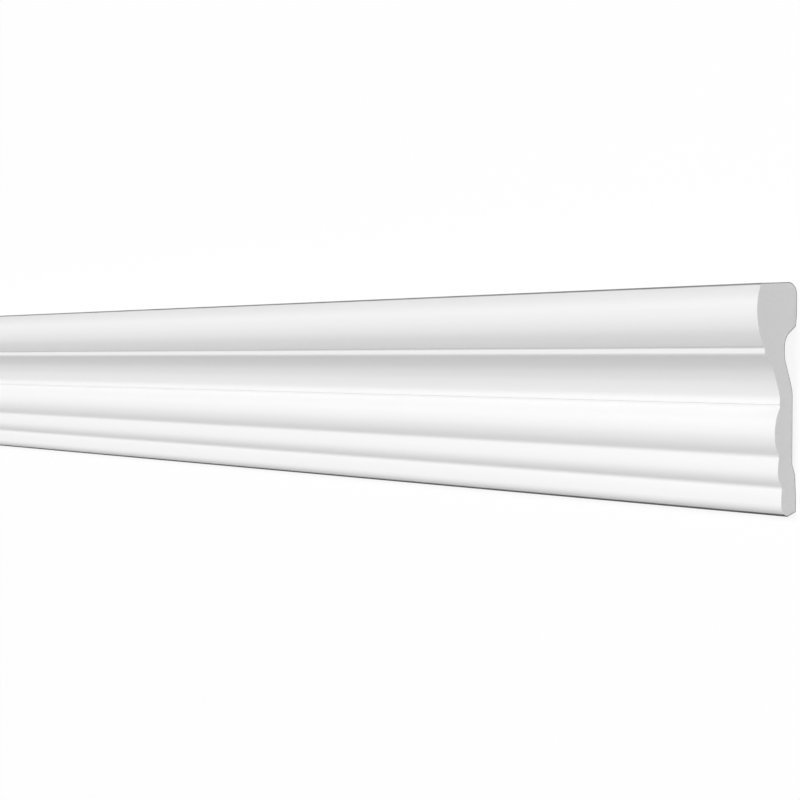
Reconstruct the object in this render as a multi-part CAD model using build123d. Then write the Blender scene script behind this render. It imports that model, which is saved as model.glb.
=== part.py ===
from build123d import *

import os

# A straight length of wall moulding, extruded as one piece and sawn square at both ends.
# It lies on its back with its moulded face up: X runs along the length, Y is the way up
# when the moulding is on a wall, and Z points out of that wall. The origin is in the
# middle of the back. All sizes are in millimetres.

LENGTH = 2000.0

# Heights of the face members on the wall, stacked from the bottom edge to the top
BAND_HEIGHT = 11.3
BEAD_HEIGHT = 12.0
OVOLO_HEIGHT = 18.7
QUIRK_HEIGHT = 0.9
LIP_HEIGHT = 2.5
COVE_HEIGHT = 17.1
FILLET_HEIGHT = 2.2
STEP_HEIGHT = 0.7
ROLL_HEIGHT = 23.8

# How far each swelling member stands off the wall at its crown
BAND_DEPTH = 8.95
BEAD_DEPTH = 11.05
OVOLO_DEPTH = 13.0
ROLL_DEPTH = 23.75

# How high each crown lies above the foot of its member
BAND_CROWN_HEIGHT = 4.7
BEAD_CROWN_HEIGHT = 6.0
OVOLO_CROWN_HEIGHT = 8.7
ROLL_CROWN_HEIGHT = 14.1

# How far the face stands off the wall at the joins between the members
TOE_DEPTH = 5.1
BAND_TOP_DEPTH = 8.5
BEAD_TOP_DEPTH = 10.3
QUIRK_DEPTH = 10.0
LIP_FOOT_DEPTH = 10.25
COVE_FOOT_DEPTH = 9.95
FILLET_DEPTH = 19.1
ROLL_FOOT_DEPTH = 20.0
TOP_ARRIS_DEPTH = 21.3

# The cove is hollow under the fillet and runs almost straight down to the lip. Its two
# arcs meet at this height above its foot, where it leans out by this angle in degrees.
COVE_MIDDLE_HEIGHT = 8.6
COVE_MIDDLE_DEPTH = 13.2
COVE_LEAN = 26.0

# The underside rises behind the bottom edge, which then meets the wall cleanly
UNDERSIDE_RISE = 1.6

# The lip is undercut where it meets the quirk, which draws a fine line along the face
LIP_UNDERCUT = 0.3

# The top slopes up towards the wall, and its back corner is well rounded
TOP_RISE = 1.0
TOP_BACK_RADIUS = 5.0

# The back touches the wall on a lower and an upper land. Both are eased off the wall
# towards the middle, so that the moulding sits tight along its outer edges.
LOWER_LAND_HEIGHT = 6.0
LOWER_EASE_HEIGHT = 8.4
UPPER_EASE_HEIGHT = 3.8
LAND_EASE_DEPTH = 0.6

# Between the lands lie a shallow recess and, behind the fillet, where the face stands
# out the most, a deeper hollow
RECESS_DEPTH = 2.35
RECESS_STEP_HEIGHT = 4.0
HOLLOW_DEPTH = 7.2
HOLLOW_FOOT_ABOVE_LIP = 2.9
HOLLOW_CREST_BELOW_FILLET = 1.5
HOLLOW_CREST_ABOVE_FILLET = 3.5
HOLLOW_STEP_HEIGHT = 5.5

# Radii on the back of the die
LAND_EDGE_RADIUS = 1.0
RECESS_RADIUS = 3.0
HOLLOW_FOOT_RADIUS = 10.0
HOLLOW_CREST_RADIUS = 4.5

# Radii of the joins and edges of the face
TOP_ARRIS_RADIUS = 0.5
ROLL_FOOT_RADIUS = 1.2
FILLET_HEAD_RADIUS = 1.0
FILLET_FOOT_RADIUS = 1.1
COVE_FOOT_RADIUS = 5.0
OVOLO_HEAD_RADIUS = 0.8
VALLEY_RADIUS = 2.0

# Heights of the joins between the members
BAND_TOP = BAND_HEIGHT
BEAD_TOP = BAND_TOP + BEAD_HEIGHT
OVOLO_TOP = BEAD_TOP + OVOLO_HEIGHT
QUIRK_TOP = OVOLO_TOP + QUIRK_HEIGHT
LIP_TOP = QUIRK_TOP + LIP_HEIGHT
COVE_TOP = LIP_TOP + COVE_HEIGHT
FILLET_TOP = COVE_TOP + FILLET_HEIGHT
STEP_TOP = FILLET_TOP + STEP_HEIGHT
ROLL_TOP = STEP_TOP + ROLL_HEIGHT
WALL_TOP = ROLL_TOP + TOP_RISE

# Corners of the face, from the top down. A point of the section is its height on the wall
# and its depth off the wall.
TOP_ARRIS = (ROLL_TOP, TOP_ARRIS_DEPTH)
ROLL_FOOT = (STEP_TOP, ROLL_FOOT_DEPTH)
FILLET_HEAD = (FILLET_TOP, FILLET_DEPTH)
FILLET_FOOT = (COVE_TOP, FILLET_DEPTH)
COVE_FOOT = (LIP_TOP, COVE_FOOT_DEPTH)
LIP_FOOT = (QUIRK_TOP + LIP_UNDERCUT, LIP_FOOT_DEPTH)
QUIRK_HEAD = (QUIRK_TOP, QUIRK_DEPTH)
OVOLO_HEAD = (OVOLO_TOP, QUIRK_DEPTH)
BEAD_HEAD = (BEAD_TOP, BEAD_TOP_DEPTH)
BAND_HEAD = (BAND_TOP, BAND_TOP_DEPTH)
TOE = (0, TOE_DEPTH)

# The corners of the face that the die rounds. The lip and the toe stay crisp.
ROUNDED_CORNERS = [
    (TOP_ARRIS, TOP_ARRIS_RADIUS),
    (ROLL_FOOT, ROLL_FOOT_RADIUS),
    (FILLET_HEAD, FILLET_HEAD_RADIUS),
    (FILLET_FOOT, FILLET_FOOT_RADIUS),
    (COVE_FOOT, COVE_FOOT_RADIUS),
    (OVOLO_HEAD, OVOLO_HEAD_RADIUS),
    (BEAD_HEAD, VALLEY_RADIUS),
    (BAND_HEAD, VALLEY_RADIUS),
]


def member(head, middle, foot, lean=0):
    """Two arcs that meet smoothly in the middle, where the face is upright or leans out."""
    upwards = Vector(1, 0).rotate(Axis.Z, lean)
    upper_arc = TangentArc(middle, head, tangent=upwards)
    lower_arc = TangentArc(middle, foot, tangent=-upwards)
    return [upper_arc, lower_arc]


def face_outline():
    """The moulded face, from the top arris down to the toe."""
    roll_crown = (STEP_TOP + ROLL_CROWN_HEIGHT, ROLL_DEPTH)
    cove_middle = (LIP_TOP + COVE_MIDDLE_HEIGHT, COVE_MIDDLE_DEPTH)
    ovolo_crown = (BEAD_TOP + OVOLO_CROWN_HEIGHT, OVOLO_DEPTH)
    bead_crown = (BAND_TOP + BEAD_CROWN_HEIGHT, BEAD_DEPTH)
    band_crown = (BAND_CROWN_HEIGHT, BAND_DEPTH)

    roll = member(TOP_ARRIS, roll_crown, ROLL_FOOT)
    step_and_fillet = Polyline(ROLL_FOOT, FILLET_HEAD, FILLET_FOOT)
    cove = member(FILLET_FOOT, cove_middle, COVE_FOOT, COVE_LEAN)
    lip_and_quirk = Polyline(COVE_FOOT, LIP_FOOT, QUIRK_HEAD, OVOLO_HEAD)
    ovolo = member(OVOLO_HEAD, ovolo_crown, BEAD_HEAD)
    bead = member(BEAD_HEAD, bead_crown, BAND_HEAD)
    band = member(BAND_HEAD, band_crown, TOE)
    return [*roll, step_and_fillet, *cove, lip_and_quirk, *ovolo, *bead, *band]


def back_outline():
    """The underside, the lands and reliefs of the back, and the sloping top."""
    lower_land_head = UNDERSIDE_RISE + LOWER_LAND_HEIGHT
    lower_ease_head = lower_land_head + LOWER_EASE_HEIGHT
    recess_foot = lower_ease_head + RECESS_STEP_HEIGHT
    recess_head = LIP_TOP + HOLLOW_FOOT_ABOVE_LIP
    hollow_foot = COVE_TOP - HOLLOW_CREST_BELOW_FILLET
    hollow_head = FILLET_TOP + HOLLOW_CREST_ABOVE_FILLET
    upper_ease_foot = hollow_head + HOLLOW_STEP_HEIGHT
    upper_land_foot = upper_ease_foot + UPPER_EASE_HEIGHT
    sharp = 0
    corners_and_radii = [
        ((UNDERSIDE_RISE, 0), sharp),
        ((lower_land_head, 0), sharp),
        ((lower_ease_head, LAND_EASE_DEPTH), LAND_EDGE_RADIUS),
        ((recess_foot, RECESS_DEPTH), RECESS_RADIUS),
        ((recess_head, RECESS_DEPTH), HOLLOW_FOOT_RADIUS),
        ((hollow_foot, HOLLOW_DEPTH), HOLLOW_FOOT_RADIUS),
        ((hollow_head, HOLLOW_DEPTH), HOLLOW_CREST_RADIUS),
        ((upper_ease_foot, LAND_EASE_DEPTH), LAND_EDGE_RADIUS),
        ((upper_land_foot, 0), sharp),
        ((WALL_TOP, 0), TOP_BACK_RADIUS),
    ]
    corners = [corner for corner, radius in corners_and_radii]
    radii = [radius for corner, radius in corners_and_radii]
    return FilletPolyline(TOE, *corners, TOP_ARRIS, radius=radii)


def rounded(section, corner, radius):
    """The section with the corner that lies nearest to a point rounded off."""
    vertex = section.vertices().sort_by_distance(corner)[0]
    return fillet(vertex, radius)


def moulding_section():
    """The closed section, moved so that its middle height is at zero."""
    section = make_face([*face_outline(), back_outline()])
    for corner, radius in ROUNDED_CORNERS:
        section = rounded(section, corner, radius)
    middle_height = section.bounding_box().center().X
    return Pos(-middle_height, 0) * section


def wall_moulding():
    """The section drawn out along the whole length, with both ends square."""
    left_end = Plane.YZ.offset(-LENGTH / 2)
    return extrude(left_end * moulding_section(), amount=LENGTH)


os.makedirs("parts", exist_ok=True)
export_step(wall_moulding(), "parts/wall_moulding.step")
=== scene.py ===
# %% [markdown]
# # A length of wall moulding
# The real object is one straight length of white moulding. A foam is pressed through a die,
# primed, and sawn square at both ends. It is lit here as in a catalogue picture: it lies on
# its back on a white floor, and the camera looks down on it with the wall's "up" upwards.
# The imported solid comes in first, as a frame that nothing may move or resize.

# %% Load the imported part
import math

import bmesh
import bpy
from mathutils import Matrix, Vector


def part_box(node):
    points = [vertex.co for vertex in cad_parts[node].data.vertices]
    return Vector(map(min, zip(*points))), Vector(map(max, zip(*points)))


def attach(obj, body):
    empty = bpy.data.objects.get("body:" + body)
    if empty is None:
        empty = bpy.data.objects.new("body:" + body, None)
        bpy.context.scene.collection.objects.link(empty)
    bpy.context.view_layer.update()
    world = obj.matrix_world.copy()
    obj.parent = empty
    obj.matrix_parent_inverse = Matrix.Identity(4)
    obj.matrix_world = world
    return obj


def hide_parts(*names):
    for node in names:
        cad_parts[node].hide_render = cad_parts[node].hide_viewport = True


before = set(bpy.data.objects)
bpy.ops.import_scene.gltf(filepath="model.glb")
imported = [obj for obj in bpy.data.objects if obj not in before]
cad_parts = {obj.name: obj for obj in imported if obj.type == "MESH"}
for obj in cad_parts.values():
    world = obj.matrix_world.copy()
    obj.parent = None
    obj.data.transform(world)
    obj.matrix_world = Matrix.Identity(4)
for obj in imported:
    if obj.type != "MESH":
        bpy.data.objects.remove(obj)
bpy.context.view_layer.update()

low_corner, high_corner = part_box("wall_moulding")
print("packed solid:", [round(size, 5) for size in high_corner - low_corner], "m")

# %% [markdown]
# ## Sizes of the section
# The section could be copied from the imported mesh, but that one has only as many facets as
# a physics model needs. So it is drawn again here from the sizes that its die has. A point
# of the section is a height on the wall and a depth off the wall, both in metres.

# %% Heights of the members, from the bottom edge to the top
BAND_TOP = 0.0113
BEAD_TOP = BAND_TOP + 0.0120
OVOLO_TOP = BEAD_TOP + 0.0187
QUIRK_TOP = OVOLO_TOP + 0.0009
LIP_TOP = QUIRK_TOP + 0.0025
COVE_TOP = LIP_TOP + 0.0171
FILLET_TOP = COVE_TOP + 0.0022
STEP_TOP = FILLET_TOP + 0.0007
ROLL_TOP = STEP_TOP + 0.0238
WALL_TOP = ROLL_TOP + 0.0010
print("the members reach", round(1000 * WALL_TOP, 1), "mm up the wall")

# %% Points of the moulded face
TOE = (0, 0.0051)
BAND_CROWN = (0.0047, 0.00895)
BAND_HEAD = (BAND_TOP, 0.0085)
BEAD_CROWN = (BAND_TOP + 0.0060, 0.01105)
BEAD_HEAD = (BEAD_TOP, 0.0103)
OVOLO_CROWN = (BEAD_TOP + 0.0087, 0.0130)
OVOLO_HEAD = (OVOLO_TOP, 0.0100)
QUIRK_HEAD = (QUIRK_TOP, 0.0100)
LIP_FOOT = (QUIRK_TOP + 0.0003, 0.01025)
COVE_FOOT = (LIP_TOP, 0.00995)
COVE_MIDDLE = (LIP_TOP + 0.0086, 0.0132)
FILLET_FOOT = (COVE_TOP, 0.0191)
FILLET_HEAD = (FILLET_TOP, 0.0191)
ROLL_FOOT = (STEP_TOP, 0.0200)
ROLL_CROWN = (STEP_TOP + 0.0141, 0.02375)
TOP_ARRIS = (ROLL_TOP, 0.0213)
COVE_LEAN = math.radians(26)
print("the roll stands", round(1000 * ROLL_CROWN[1], 2), "mm off the wall")

# %% Points of the back: two lands, and the recess and the hollow between them
LAND_EASE = 0.0006
RECESS_DEPTH = 0.00235
HOLLOW_DEPTH = 0.0072
LOWER_LAND_FOOT = (0.0016, 0)
LOWER_LAND_HEAD = (LOWER_LAND_FOOT[0] + 0.0060, 0)
LOWER_EASE_HEAD = (LOWER_LAND_HEAD[0] + 0.0084, LAND_EASE)
RECESS_FOOT = (LOWER_EASE_HEAD[0] + 0.0040, RECESS_DEPTH)
RECESS_HEAD = (LIP_TOP + 0.0029, RECESS_DEPTH)
HOLLOW_FOOT = (COVE_TOP - 0.0015, HOLLOW_DEPTH)
HOLLOW_HEAD = (FILLET_TOP + 0.0039, HOLLOW_DEPTH)
UPPER_EASE_FOOT = (HOLLOW_HEAD[0] + 0.0044, LAND_EASE)
UPPER_LAND_FOOT = (UPPER_EASE_FOOT[0] + 0.0045, 0)
TOP_BACK = (WALL_TOP, 0)
print("the hollow is", round(1000 * HOLLOW_DEPTH, 2), "mm deep")

# %% [markdown]
# ## A pen for the section
# A section of arcs could be a curve object, but bmesh can draw it as well, and then the same
# mesh goes on to be filled and pulled out. The pen is one vertex, its tip. Extruding the tip
# draws a straight line, and spinning it about a centre draws a true arc. Corners that the
# die rounds are noted on the way, and a vertex bevel rounds them when the outline is closed.

# %% Where the section lies
ALONG_LENGTH = Vector((1, 0, 0))


def on_left_end(point):
    """A point of the section, on the plane of the left end."""
    height, depth = point
    return Vector((low_corner.x, low_corner.y + height, low_corner.z + depth))


# %% The pen
ARC_STEP = math.radians(2)
CORNER_STEP = 3 * ARC_STEP
FEWEST_SEGMENTS = 2


class SectionPen:
    """Draws a closed section with bmesh operators, and rounds its corners."""

    def __init__(self, start, radius):
        self.mesh = bmesh.new()
        self.start = bmesh.ops.create_vert(self.mesh, co=on_left_end(start))["vert"][0]
        self.tip = self.start
        self.radii = {self.start: radius}

    def line(self, point, radius=0):
        grown = bmesh.ops.extrude_vert_indiv(self.mesh, verts=[self.tip])
        self.tip = grown["verts"][0]
        self.tip.co = on_left_end(point)
        self.radii[self.tip] = radius

    def arc(self, point, centre, radius=0):
        middle = on_left_end(centre)
        before = self.tip.co - middle
        after = on_left_end(point) - middle
        turn = math.copysign(before.angle(after), before.cross(after).x)
        steps = math.ceil(abs(turn) / ARC_STEP)
        spun = bmesh.ops.spin(
            self.mesh, geom=[self.tip], cent=middle, axis=ALONG_LENGTH, angle=turn, steps=steps)
        self.tip = next(item for item in spun["geom_last"] if isinstance(item, bmesh.types.BMVert))
        self.radii[self.tip] = radius

    def close(self):
        bmesh.ops.contextual_create(self.mesh, geom=[self.tip, self.start])
        bmesh.ops.edgeloop_fill(self.mesh, edges=self.mesh.edges[:])
        for corner, radius in self.radii.items():
            if radius:
                self.round_corner(corner, radius)
        return self.mesh

    def round_corner(self, corner, radius):
        first, second = [edge.other_vert(corner).co - corner.co for edge in corner.link_edges]
        turn = math.pi - first.angle(second)
        reach = radius * math.tan(turn / 2)
        crowding = [point for point in self.mesh.verts
                    if point is not corner and (point.co - corner.co).length < reach]
        bmesh.ops.dissolve_verts(self.mesh, verts=crowding)
        bmesh.ops.bevel(
            self.mesh, geom=[corner], offset=reach, offset_type="OFFSET", affect="VERTICES",
            segments=max(FEWEST_SEGMENTS, math.ceil(turn / CORNER_STEP)), profile=0.5, material=-1)


# %% [markdown]
# ## The members of the face
# Roll, ovolo, bead and band swell out, and the cove between them is hollow, but all five are
# drawn alike: two arcs that run into each other in the member's middle. There the convex
# ones stand upright and the cove leans out. That direction fixes the centre of each arc.

# %% Arcs of a member


def arc_centre(start, direction, end):
    """The centre of the arc that runs along a direction at its start and reaches its end."""
    chord = Vector(end) - Vector(start)
    across = Vector((-direction.y, direction.x))
    radius = chord.length_squared / (2 * chord.dot(across))
    return Vector(start) + across * radius


def draw_member(pen, head, middle, foot, foot_radius, lean=0):
    """A member of the face, drawn downwards from its head."""
    upwards = Vector((math.cos(lean), math.sin(lean)))
    pen.arc(middle, arc_centre(middle, upwards, head))
    pen.arc(foot, arc_centre(middle, upwards, foot), foot_radius)


# %% Radii of the die's corners
TOP_ARRIS_RADIUS = 0.0005
FILLET_EDGE_RADIUS = 0.0011
ROLL_FOOT_RADIUS = 0.0012
FILLET_HEAD_RADIUS = 0.0010
QUIRK_RADIUS = 0.0008
VALLEY_RADIUS = 0.0020
COVE_FOOT_RADIUS = 0.0050
TOE_RADIUS = 0.0005
LAND_EDGE_RADIUS = 0.0010
RECESS_RADIUS = 0.0030
HOLLOW_FOOT_RADIUS = 0.0100
HOLLOW_CREST_RADIUS = 0.0060
TOP_BACK_RADIUS = 0.0050
print("radii: top arris", 1000 * TOP_ARRIS_RADIUS, "mm, valleys", 1000 * VALLEY_RADIUS, "mm")

# %% Draw the section
pen = SectionPen(TOP_ARRIS, TOP_ARRIS_RADIUS)
draw_member(pen, TOP_ARRIS, ROLL_CROWN, ROLL_FOOT, ROLL_FOOT_RADIUS)
pen.line(FILLET_HEAD, FILLET_HEAD_RADIUS)
pen.line(FILLET_FOOT, FILLET_EDGE_RADIUS)
draw_member(pen, FILLET_FOOT, COVE_MIDDLE, COVE_FOOT, COVE_FOOT_RADIUS, COVE_LEAN)
pen.line(LIP_FOOT)
pen.line(QUIRK_HEAD)
pen.line(OVOLO_HEAD, QUIRK_RADIUS)
draw_member(pen, OVOLO_HEAD, OVOLO_CROWN, BEAD_HEAD, VALLEY_RADIUS)
draw_member(pen, BEAD_HEAD, BEAD_CROWN, BAND_HEAD, VALLEY_RADIUS)
draw_member(pen, BAND_HEAD, BAND_CROWN, TOE, TOE_RADIUS)
pen.line(LOWER_LAND_FOOT)
pen.line(LOWER_LAND_HEAD)
pen.line(LOWER_EASE_HEAD, LAND_EDGE_RADIUS)
pen.line(RECESS_FOOT, RECESS_RADIUS)
pen.line(RECESS_HEAD, HOLLOW_FOOT_RADIUS)
pen.line(HOLLOW_FOOT, HOLLOW_FOOT_RADIUS)
pen.line(HOLLOW_HEAD, HOLLOW_CREST_RADIUS)
pen.line(UPPER_EASE_FOOT, LAND_EDGE_RADIUS)
pen.line(UPPER_LAND_FOOT)
pen.line(TOP_BACK, TOP_BACK_RADIUS)
section = pen.close()
print("section:", len(section.verts), "points round one face of", len(section.faces))

# %% [markdown]
# ## The length
# The die presses the section straight out, so one extrusion makes the whole length. A saw
# leaves a fine broken edge. A bevel could make it, but an inset that also moves outwards
# draws the same small chamfer and leaves the end as one face. A second inset marks the dense
# skin of the foam, which the cut shows as a thin line of painted shade. Along the moulded
# face the primer hides that line, so there the ring counts as sawn foam.

# %% Extrude and dress the ends
SAW_CHAMFER = 0.0001
SKIN_THICKNESS = 0.0003
LENGTH_CUTS = 39
END_NORMAL = 0.5

sawn_length = high_corner.x - low_corner.x - 2 * SAW_CHAMFER
bmesh.ops.translate(section, verts=section.verts[:], vec=ALONG_LENGTH * SAW_CHAMFER)
pulled = bmesh.ops.extrude_face_region(section, geom=section.faces[:])
pulled_points = [item for item in pulled["geom"] if isinstance(item, bmesh.types.BMVert)]
bmesh.ops.translate(section, verts=pulled_points, vec=ALONG_LENGTH * sawn_length)
bmesh.ops.recalc_face_normals(section, faces=section.faces[:])
end_faces = [face for face in section.faces if abs(face.normal.x) > END_NORMAL]
long_edges = [edge for edge in section.edges if edge.calc_length() > sawn_length / 2]
bmesh.ops.subdivide_edges(section, edges=long_edges, cuts=LENGTH_CUTS, use_grid_fill=True)
bmesh.ops.inset_region(
    section, faces=end_faces, thickness=SAW_CHAMFER, depth=SAW_CHAMFER,
    use_boundary=True, use_even_offset=True)
skin_ring = bmesh.ops.inset_region(
    section, faces=end_faces, thickness=SKIN_THICKNESS, depth=0,
    use_boundary=True, use_even_offset=True)["faces"]
print("length:", len(section.faces), "faces,", len(end_faces), "sawn ends")

# %% Sort the faces by finish
PRIMED, SAWN, SKIN_EDGE, BACK = range(4)
BACK_NORMAL = -0.05
MOULDED_NORMAL = 0.3

for face in section.faces:
    faces_wall = face.normal.z < BACK_NORMAL and abs(face.normal.x) < END_NORMAL
    face.material_index = BACK if faces_wall else PRIMED
    face.smooth = True
# Ring faces beside the back, the top and the underside take the dark skin line, which is painted shade
# along the cut's edge.
for face in skin_ring:
    neighbours = [other for edge in face.edges for other in edge.link_faces]
    broken_edge = min(neighbours, key=lambda other: abs(other.normal.x))
    face.material_index = SAWN if broken_edge.normal.z > MOULDED_NORMAL else SKIN_EDGE
for face in end_faces:
    face.material_index = SAWN
print("skin line:", len([face for face in skin_ring if face.material_index == SKIN_EDGE]), "faces")

# %% Make it an object
CREASE = math.radians(20)
mesh = bpy.data.meshes.new("moulding")
section.to_mesh(mesh)
section.free()
mesh.set_sharp_from_angle(angle=CREASE)
moulding = bpy.data.objects.new("moulding", mesh)
bpy.context.scene.collection.objects.link(moulding)
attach(moulding, "root")
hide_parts("wall_moulding")
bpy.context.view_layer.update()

# %% [markdown]
# ## Writing shader maths as Python
# A finish is a tree of nodes. Wired by hand it soon becomes hard to read, so a small class
# wraps an output socket, and Python's own operators on it add the Math nodes. Every other
# node comes from one method, which takes its type, its settings and its sockets.

# %% A signal and its operators


class Signal:
    """An output socket of a node. Operators on it add Math nodes."""

    def __init__(self, bench, socket):
        self.bench = bench
        self.socket = socket

    def combined(self, operation, first, second):
        return self.bench.node("ShaderNodeMath", {"operation": operation}, {0: first, 1: second})

    def __add__(self, other):
        return self.combined("ADD", self, other)

    def __sub__(self, other):
        return self.combined("SUBTRACT", self, other)

    def __rsub__(self, other):
        return self.combined("SUBTRACT", other, self)

    def __mul__(self, other):
        return self.combined("MULTIPLY", self, other)

    __radd__ = __add__
    __rmul__ = __mul__


# %% The node bench


class NodeBench:
    """Builds the node tree of a material or of the world."""

    def __init__(self, owner):
        self.owner = owner
        owner.use_nodes = True
        self.tree = owner.node_tree
        self.tree.nodes.clear()

    def node(self, kind, settings=None, sockets=None, output=None):
        """A new node, with its settings made first. Returns its first output, or the one named."""
        made = self.tree.nodes.new(kind)
        for name, value in (settings or {}).items():
            setattr(made, name, value)
        for name, value in (sockets or {}).items():
            self.feed(made, name, value)
        shown = [socket for socket in made.outputs
                 if socket.enabled and output in (None, socket.name)]
        return Signal(self, shown[0]) if shown else None

    def feed(self, made, name, value):
        if isinstance(name, int):
            socket = made.inputs[name]
        else:
            socket = next(s for s in made.inputs if s.name == name and s.enabled)
        if isinstance(value, Signal):
            self.tree.links.new(value.socket, socket)
        else:
            socket.default_value = value


# %% [markdown]
# ## Patterns that the finishes share
# Every pattern reads the object's own coordinates in metres, so that it keeps its true size
# and stays on the piece. A noise that is stretched far along the length makes the lines which
# a die draws. Stretched less it makes clouds, and with equal scales it makes the ripple of a
# sprayed primer.

# %% Noise on the object's own coordinates


def placed(bench, scale, turn=0):
    """Object coordinates, turned about the length and then scaled along X, Y and Z."""
    place = bench.node("ShaderNodeTexCoord", output="Object")
    turned = bench.node("ShaderNodeMapping", {}, {"Vector": place, "Rotation": (turn, 0, 0)})
    return bench.node("ShaderNodeVectorMath", {"operation": "MULTIPLY"}, {0: turned, 1: scale})


def noise(bench, scale, detail=2, turn=0):
    """Noise from 0 to 1 with this many patches to the metre along X, Y and Z."""
    return bench.node(
        "ShaderNodeTexNoise", {},
        {"Vector": placed(bench, scale, turn), "Scale": 1, "Detail": detail, "Roughness": 0.5})


def cloud(bench, along, across, detail=2):
    """Noise with this many patches to the metre along and across the length."""
    return noise(bench, (along, across, across), detail)


# %% Shares from 0 to 1, and the colours between them


def fade(bench, value, full, gone):
    """1 where a value is at one limit, 0 at the other, and a smooth run between them."""
    return bench.node(
        "ShaderNodeMapRange", {"interpolation_type": "SMOOTHSTEP"},
        {"Value": value, "From Min": full, "From Max": gone, "To Min": 1, "To Max": 0})


def uneven(pattern, spread):
    """A share of 1 on the whole, which a pattern from 0 to 1 varies over this spread."""
    return 1 - spread / 2 + spread * pattern


def grey(level):
    return (level, level, level, 1)


def blend(bench, share, without, fully):
    """A colour that goes from one to another with a share from 0 to 1."""
    return bench.node(
        "ShaderNodeMix", {"data_type": "RGBA"}, {"Factor": share, "A": without, "B": fully})


# %% Distance from a long edge


def from_edge(bench, point):
    """How far it is to the long edge that passes through one point of the section."""
    edge = on_left_end(point)
    edge.x = 0
    return bench.node(
        "ShaderNodeVectorMath", {"operation": "DISTANCE"}, {0: placed(bench, (0, 1, 1)), 1: edge})


# %% Put a finish together


def finish(bench, colour, roughness, height):
    """Puts a finish together from its colour, its roughness and its relief in metres."""
    relief = bench.node("ShaderNodeBump", {}, {"Strength": 1, "Distance": 1, "Height": height})
    coat = bench.node(
        "ShaderNodeBsdfPrincipled", {},
        {"Base Color": colour, "Roughness": roughness, "Normal": relief})
    bench.node("ShaderNodeOutputMaterial", {}, {"Surface": coat})
    mesh.materials.append(bench.owner)
    print("finish:", bench.owner.name, "with", len(bench.tree.nodes), "nodes")


# %% [markdown]
# ## The primed face
# The face carries a satin white primer. It has the ripple of a sprayed coat, the fine lines
# of the die under it, and slow clouds where the coat is thicker. Both outer edges get painted
# shade: a thin dark line at each edge and a wider grey beside it. More painted shade darkens
# both flanks of the fillet, but not the fillet itself, and the underside just above the
# valleys at the heads of the bead and the band. Painted light makes the primer whiter on the
# two large crowns, low on the cove and on the two lowest members. Such marks could be painted
# on a texture. But each depends only on how far it is to one long edge, so that distance in
# the section's plane places them, and they run true along the whole length. A pair of lengths
# says how far from its edge a mark is still full, and where it has faded out.

# %% Painted shade along the outer edges
primed = NodeBench(bpy.data.materials.new("primed_white"))
# Painted shade: a thin dark line along the top arris and along the toe.
TOP_SHADE_LINE = (0.0005, 0.0010)
TOE_SHADE_LINE = (0.0020, 0.0026)
# Painted shade: a wider grey that darkens the roll's top towards the arris and the band towards the
# toe.
TOP_SHADE = (0, 0.0085)
TOE_SHADE = (0, 0.0055)
TOP_SHADE_LINE_SHARE = 0.8
TOP_SHADE_SHARE = 0.32
TOE_SHADE_SHARE = 0.72

top_distance = from_edge(primed, TOP_ARRIS)
toe_distance = from_edge(primed, TOE)
edge_shade_lines = (TOP_SHADE_LINE_SHARE * fade(primed, top_distance, *TOP_SHADE_LINE)
           + fade(primed, toe_distance, *TOE_SHADE_LINE))
painted_shade = (TOP_SHADE_SHARE * fade(primed, top_distance, *TOP_SHADE)
         + TOE_SHADE_SHARE * fade(primed, toe_distance, *TOE_SHADE))
print("painted edge shade:", len(primed.tree.nodes), "nodes")

# %% Painted shade on both flanks of the fillet, which itself is left without it
# Painted shade on both flanks of the fillet, left off the fillet itself.
FLANK_SHADE = (0.0060, 0.0115)
FILLET_UNSHADED = (0.0014, 0.0028)
FLANK_SHADE_SHARE = 0.20

fillet_middle = ((COVE_TOP + FILLET_TOP) / 2, FILLET_FOOT[1])
fillet_distance = from_edge(primed, fillet_middle)
flank_shade = fade(primed, fillet_distance, *FLANK_SHADE) - fade(primed, fillet_distance, *FILLET_UNSHADED)
painted_shade = painted_shade + FLANK_SHADE_SHARE * flank_shade
print("with painted shade by the fillet:", len(primed.tree.nodes), "nodes")

# %% Painted shade just above each valley, where a member turns under
# Painted shade on the underside just above the valleys at the heads of the bead and the band.
VALLEY_SHADE = (0, 0.0036)
VALLEY_SHADE_SHARE = 0.13
ABOVE_VALLEY = Vector((0.0018, 0.0013))

for valley in (BEAD_HEAD, BAND_HEAD):
    valley_shade_line = Vector(valley) + ABOVE_VALLEY
    painted_shade = painted_shade + VALLEY_SHADE_SHARE * fade(primed, from_edge(primed, valley_shade_line), *VALLEY_SHADE)
print("with painted shade above the valleys:", len(primed.tree.nodes), "nodes")

# %% Painted light low on the cove and on the two lowest members
# Painted light: the primer is whiter low on the cove and on the two lowest members.
COVE_LIGHT = (0.0030, 0.0066)
LOW_MEMBERS_LIGHT = (0.0200, 0.0250)
COVE_LIGHT_ABOVE_LIP = 0.0025

cove_light_line = (LIP_TOP + COVE_LIGHT_ABOVE_LIP, COVE_FOOT[1])
painted_light = fade(primed, from_edge(primed, cove_light_line), *COVE_LIGHT) + fade(primed, toe_distance, *LOW_MEMBERS_LIGHT)
print("with painted light low down:", len(primed.tree.nodes), "nodes")

# %% Painted highlight on the two large crowns
# Painted highlight: the primer is whiter on the crowns of the ovolo and the roll.
CROWN_HIGHLIGHT = (0.0015, 0.0060)
OVOLO_HIGHLIGHT_SHARE, ROLL_HIGHLIGHT_SHARE = 0.9, 0.6
OVOLO_HIGHLIGHT_RISE = 0.0020

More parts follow.
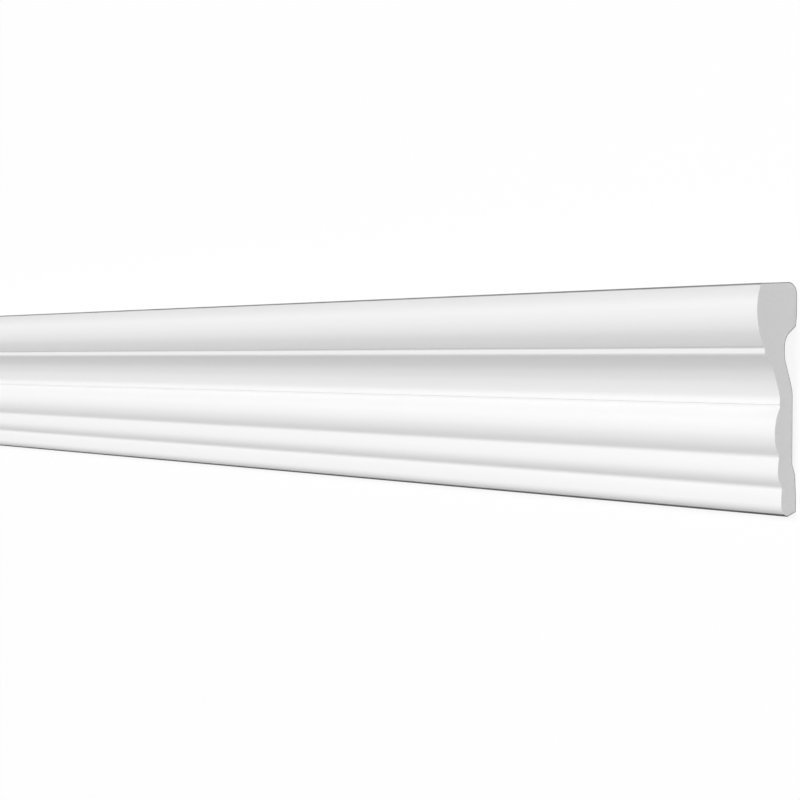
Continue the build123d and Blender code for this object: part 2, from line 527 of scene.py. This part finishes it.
ovolo_highlight_line = (OVOLO_CROWN[0] + OVOLO_HIGHLIGHT_RISE, OVOLO_CROWN[1])
painted_light = (painted_light + OVOLO_HIGHLIGHT_SHARE * fade(primed, from_edge(primed, ovolo_highlight_line), *CROWN_HIGHLIGHT)
          + ROLL_HIGHLIGHT_SHARE * fade(primed, from_edge(primed, ROLL_CROWN), *CROWN_HIGHLIGHT))
print("with painted highlights on the crowns:", len(primed.tree.nodes), "nodes")

# %% Primer
PEEL_RELIEF = 1.2e-5
DIE_RELIEF = 5.0e-6
PRIMER_ROUGHNESS = 0.38
CLOUD_DULLING, LINE_DULLING, EDGE_LINE_DULLING = 0.12, 0.08, 0.2
SHADE_SPREAD, EDGE_SHADE_SPREAD = 0.3, 0.4
# The whitest primer here is painted light, and the two greys after it are painted shade.
THIN_PRIMER, THICK_PRIMER, LIT_PRIMER = grey(0.885), grey(0.905), grey(0.945)
SHADE, EDGE_SHADE = grey(0.45), grey(0.05)

thickness = cloud(primed, along=5, across=40)
shade_patches = cloud(primed, along=60, across=500)
peel = cloud(primed, along=650, across=650, detail=1)
die_lines = cloud(primed, along=1.5, across=1100)
# The primer gets painted light, then painted shade, and then the dark edge lines of painted shade.
primer = blend(primed, painted_light, blend(primed, thickness, THIN_PRIMER, THICK_PRIMER), LIT_PRIMER)
shaded_primer = blend(primed, painted_shade * uneven(shade_patches, SHADE_SPREAD), primer, SHADE)
finish(
    primed,
    colour=blend(primed, edge_shade_lines * uneven(shade_patches, EDGE_SHADE_SPREAD), shaded_primer, EDGE_SHADE),
    roughness=(PRIMER_ROUGHNESS + CLOUD_DULLING * thickness + LINE_DULLING * die_lines
               + EDGE_LINE_DULLING * edge_shade_lines),
    height=PEEL_RELIEF * peel + DIE_RELIEF * die_lines)

# %% [markdown]
# ## The sawn ends
# The saw opens the foam, so an end is dull and shows fine cells, some larger bubbles and the
# ridges of the blade, all of them faint. The middles of the cells and the bubbles' pits are
# hollows, and painted shade makes them darker. Noise alone would give clouds. So the cells
# come from a texture that measures how far it is to the nearest of many scattered points,
# because the bubbles of a foam crowd each other in the same way. The ridges are noise that is
# stretched across the end and turned a little.

# %% Bubbles


def bubbles(bench, per_metre):
    """The distance from the middle of the nearest bubble, in bubbles."""
    return bench.node(
        "ShaderNodeTexVoronoi", {"feature": "F1"},
        {"Vector": placed(bench, (1, 1, 1)), "Scale": per_metre, "Randomness": 1})


# %% Sawn foam
sawn = NodeBench(bpy.data.materials.new("sawn_foam"))
CELLS_PER_METRE = 3200
BUBBLES_PER_METRE = 420
CELL_RELIEF = 2.5e-5
BUBBLE_RELIEF = 3.0e-5
BLADE_RELIEF = 1.5e-5
BLADE_RIDGES = (1, 900, 40)
BLADE_LEAN = math.radians(12)
PIT_EDGE = (0.10, 0.17)
PIT_SHADE_SHARE = 0.15
SAWN_ROUGHNESS = 0.7
CELL_DULLING = 0.2
# The cells' darker middles and the grey of the pits are painted shade.
CELL_HEART_SHADE, CELL_WALL, PIT_SHADE = grey(0.86), grey(0.93), grey(0.55)

cell = bubbles(sawn, CELLS_PER_METRE)
pit = fade(sawn, bubbles(sawn, BUBBLES_PER_METRE), *PIT_EDGE)
blade = noise(sawn, BLADE_RIDGES, turn=BLADE_LEAN)
foam = blend(sawn, cell, CELL_HEART_SHADE, CELL_WALL)
finish(
    sawn,
    colour=blend(sawn, PIT_SHADE_SHARE * pit, foam, PIT_SHADE),
    roughness=SAWN_ROUGHNESS + CELL_DULLING * cell,
    height=CELL_RELIEF * cell + BLADE_RELIEF * blade - BUBBLE_RELIEF * pit)

# %% [markdown]
# ## The skin at the cut
# Against the die the foam collapses into a dense skin. On the cut it shows as a thin line
# round the back, the top and the underside, and its dark grey, darker than the cells inside
# it, is painted shade along the cut's edge. It is a ring of faces of its own, so that the
# line keeps its width however close the camera comes.

# %% Dense skin, painted with shade along the cut's edge
skin = NodeBench(bpy.data.materials.new("skin_shade_line"))
SKIN_ROUGHNESS = 0.5
SKIN_DULLING = 0.1
# The skin line's greys are painted shade along the cut's edge.
DARK_SKIN_SHADE, PALE_SKIN_SHADE = grey(0.22), grey(0.34)

dense = cloud(skin, along=400, across=400)
finish(
    skin,
    colour=blend(skin, dense, DARK_SKIN_SHADE, PALE_SKIN_SHADE),
    roughness=SKIN_ROUGHNESS + SKIN_DULLING * dense,
    height=CELL_RELIEF * dense)

# %% [markdown]
# ## The back
# Nobody sees the back once it is glued to the wall, so it gets no primer. It keeps the die's
# lines and a duller, unevenly foamed surface. Only some mist of the primer reaches round
# both edges, and it fades out over about a centimetre.

# %% Bare back
back = NodeBench(bpy.data.materials.new("bare_back"))
MIST_REACH = 0.012
BACK_LINE_RELIEF = 3 * DIE_RELIEF
MIST_SPREAD = 0.8
BACK_ROUGHNESS = 0.62
FOAM_DULLING, MIST_SHINE = 0.15, 0.15
DARK_FOAM, PALE_FOAM, MIST = grey(0.80), grey(0.87), grey(0.895)

foaming = cloud(back, along=12, across=60, detail=4)
back_lines = cloud(back, along=1.2, across=700)
mist_edge = MIST_REACH * uneven(cloud(back, along=30, across=200), MIST_SPREAD)
mist = (fade(back, from_edge(back, TOP_BACK) - mist_edge, -MIST_REACH, 0)
        + fade(back, from_edge(back, LOWER_LAND_FOOT) - mist_edge, -MIST_REACH, 0))
bare = blend(back, foaming, DARK_FOAM, PALE_FOAM)
finish(
    back,
    colour=blend(back, mist, bare, MIST),
    roughness=BACK_ROUGHNESS + FOAM_DULLING * foaming - MIST_SHINE * mist,
    height=BACK_LINE_RELIEF * back_lines + PEEL_RELIEF * foaming)

# %% [markdown]
# ## The floor
# A catalogue picture has white paper under the object. White paint alone would need too
# much light, so for the rays that come from the camera or from a gloss most of the paper
# glows, and the share that stays matt keeps the object's shadow. For all other rays it is
# plain paper, which throws light back as paper does.

# %% Floor
FLOOR_RADIUS = 60
FLOOR_SIDES = 64

floor_mesh = bpy.data.meshes.new("floor")
floor_shape = bmesh.new()
bmesh.ops.create_circle(floor_shape, cap_ends=True, radius=FLOOR_RADIUS, segments=FLOOR_SIDES)
floor_shape.to_mesh(floor_mesh)
floor_shape.free()
floor = bpy.data.objects.new("floor", floor_mesh)
bpy.context.scene.collection.objects.link(floor)
print("floor:", 2 * FLOOR_RADIUS, "m across")

# %% Rays that look at the paper


def looking(bench):
    """1 for rays from the camera or from a gloss or glass, and 0 for the rest."""
    seen, glossy, through = [
        bench.node("ShaderNodeLightPath", output=ray)
        for ray in ("Is Camera Ray", "Is Glossy Ray", "Is Transmission Ray")]
    return bench.node(
        "ShaderNodeClamp", {}, {"Value": seen + glossy + through, "Min": 0, "Max": 1})


# %% White paper
PAPER_GLOW = 0.88
PAPER, WHITE = grey(0.8), grey(1)

paper = NodeBench(bpy.data.materials.new("white_paper"))
seen = looking(paper)
matt = paper.node(
    "ShaderNodeBsdfDiffuse", {}, {"Color": blend(paper, seen, PAPER, WHITE)})
glow = paper.node("ShaderNodeEmission", {}, {"Color": WHITE, "Strength": 1})
sheet = paper.node("ShaderNodeMixShader", {}, {0: seen * PAPER_GLOW, 1: matt, 2: glow})
paper.node("ShaderNodeOutputMaterial", {}, {"Surface": sheet})
floor_mesh.materials.append(paper.owner)
print("finish:", paper.owner.name, "with", len(paper.tree.nodes), "nodes")

# %% [markdown]
# ## Light
# A soft key lamp stands in front of the face and a little above it, so that every member
# is bright on top and turns grey underneath. It is a sun lamp, which is equally strong along
# the whole length. A weak round fill on the right reaches the sawn end. It hangs near, so
# its light fades towards the far end, as it does in a small studio. The sky adds a little
# from everywhere. A lamp of level 1 makes a colour that faces it render about as it is
# written, and the three together come to nearly that for a surface that faces out of the
# wall. Paint spreads the light that lands on it, so that level is a sun's strength of pi, or
# for a lamp with a place the square of pi times its distance.

# %% Sky
SKY_LEVEL = 0.10
sky = NodeBench(bpy.data.worlds.new("sky"))
sky_level = SKY_LEVEL + looking(sky) * (1 - SKY_LEVEL)
dome = sky.node("ShaderNodeBackground", {}, {"Color": WHITE, "Strength": sky_level})
sky.node("ShaderNodeOutputWorld", {}, {"Surface": dome})
bpy.context.scene.world = sky.owner
print("sky: level", SKY_LEVEL, "on the object")

# %% Hanging a lamp
LIT_END = Vector((high_corner.x, 0, 0))
LAMP_DISTANCE = 5


def hang_lamp(data, rise, side):
    """Points a lamp at the right end, from an angle above the face and another to its right."""
    towards = Vector((
        math.cos(rise) * math.sin(side), math.sin(rise), math.cos(rise) * math.cos(side)))
    lamp = bpy.data.objects.new(data.name, data)
    lamp.location = LIT_END + towards * LAMP_DISTANCE
    lamp.rotation_euler = towards.to_track_quat("Z", "Y").to_euler()
    bpy.context.scene.collection.objects.link(lamp)
    print("lamp:", data.name, "at", [round(place, 2) for place in lamp.location])


# %% Key lamp
KEY_LEVEL = 0.72
KEY_RISE = math.radians(16)
KEY_SIDE = 0
KEY_SPREAD = math.radians(25)

key = bpy.data.lights.new("key", "SUN")
key.energy = KEY_LEVEL * math.pi
key.angle = KEY_SPREAD
hang_lamp(key, KEY_RISE, KEY_SIDE)

# %% Fill lamp
FILL_LEVEL = 0.24
FILL_RISE = math.radians(20)
FILL_SIDE = math.radians(45)
FILL_WIDTH = 2.2

fill = bpy.data.lights.new("fill", "AREA")
fill.shape = "DISK"
fill.size = FILL_WIDTH
fill.energy = FILL_LEVEL * (math.pi * LAMP_DISTANCE) ** 2
hang_lamp(fill, FILL_RISE, FILL_SIDE)

# %% [markdown]
# ## Camera
# The camera stands out beyond the right end, in front of the face and a little above its
# middle, and its long lens lets the long edges run together slowly. A constraint could aim
# it. Here two plain angles, its swing and its dip, give the three directions that make up
# its matrix.

# %% Where the camera looks
CAMERA_PLACE = Vector((1.41365, 0.01601, 0.52836))
CAMERA_SWING = math.radians(38.808)
CAMERA_DIP = math.radians(1.4235)

forward = Vector((
    -math.cos(CAMERA_DIP) * math.cos(CAMERA_SWING), -math.sin(CAMERA_DIP),
    -math.cos(CAMERA_DIP) * math.sin(CAMERA_SWING)))
right = forward.cross(Vector((0, 1, 0))).normalized()
upward = right.cross(forward)
print("camera: looks along", [round(part, 3) for part in forward])

# %% Camera
IMAGE_SIZE = 800
FOCAL_PIXELS = 1700
SENSOR = 36

camera_data = bpy.data.cameras.new("camera")
camera_data.sensor_width = SENSOR
camera_data.lens = SENSOR * FOCAL_PIXELS / IMAGE_SIZE
camera = bpy.data.objects.new("camera", camera_data)
turn = Matrix((right, upward, -forward)).transposed().to_4x4()
camera.matrix_world = Matrix.Translation(CAMERA_PLACE) @ turn
bpy.context.scene.collection.objects.link(camera)
bpy.context.scene.camera = camera
bpy.context.scene.view_settings.view_transform = "Standard"
print("camera: lens", round(camera_data.lens, 1), "mm on a sensor of", SENSOR, "mm")
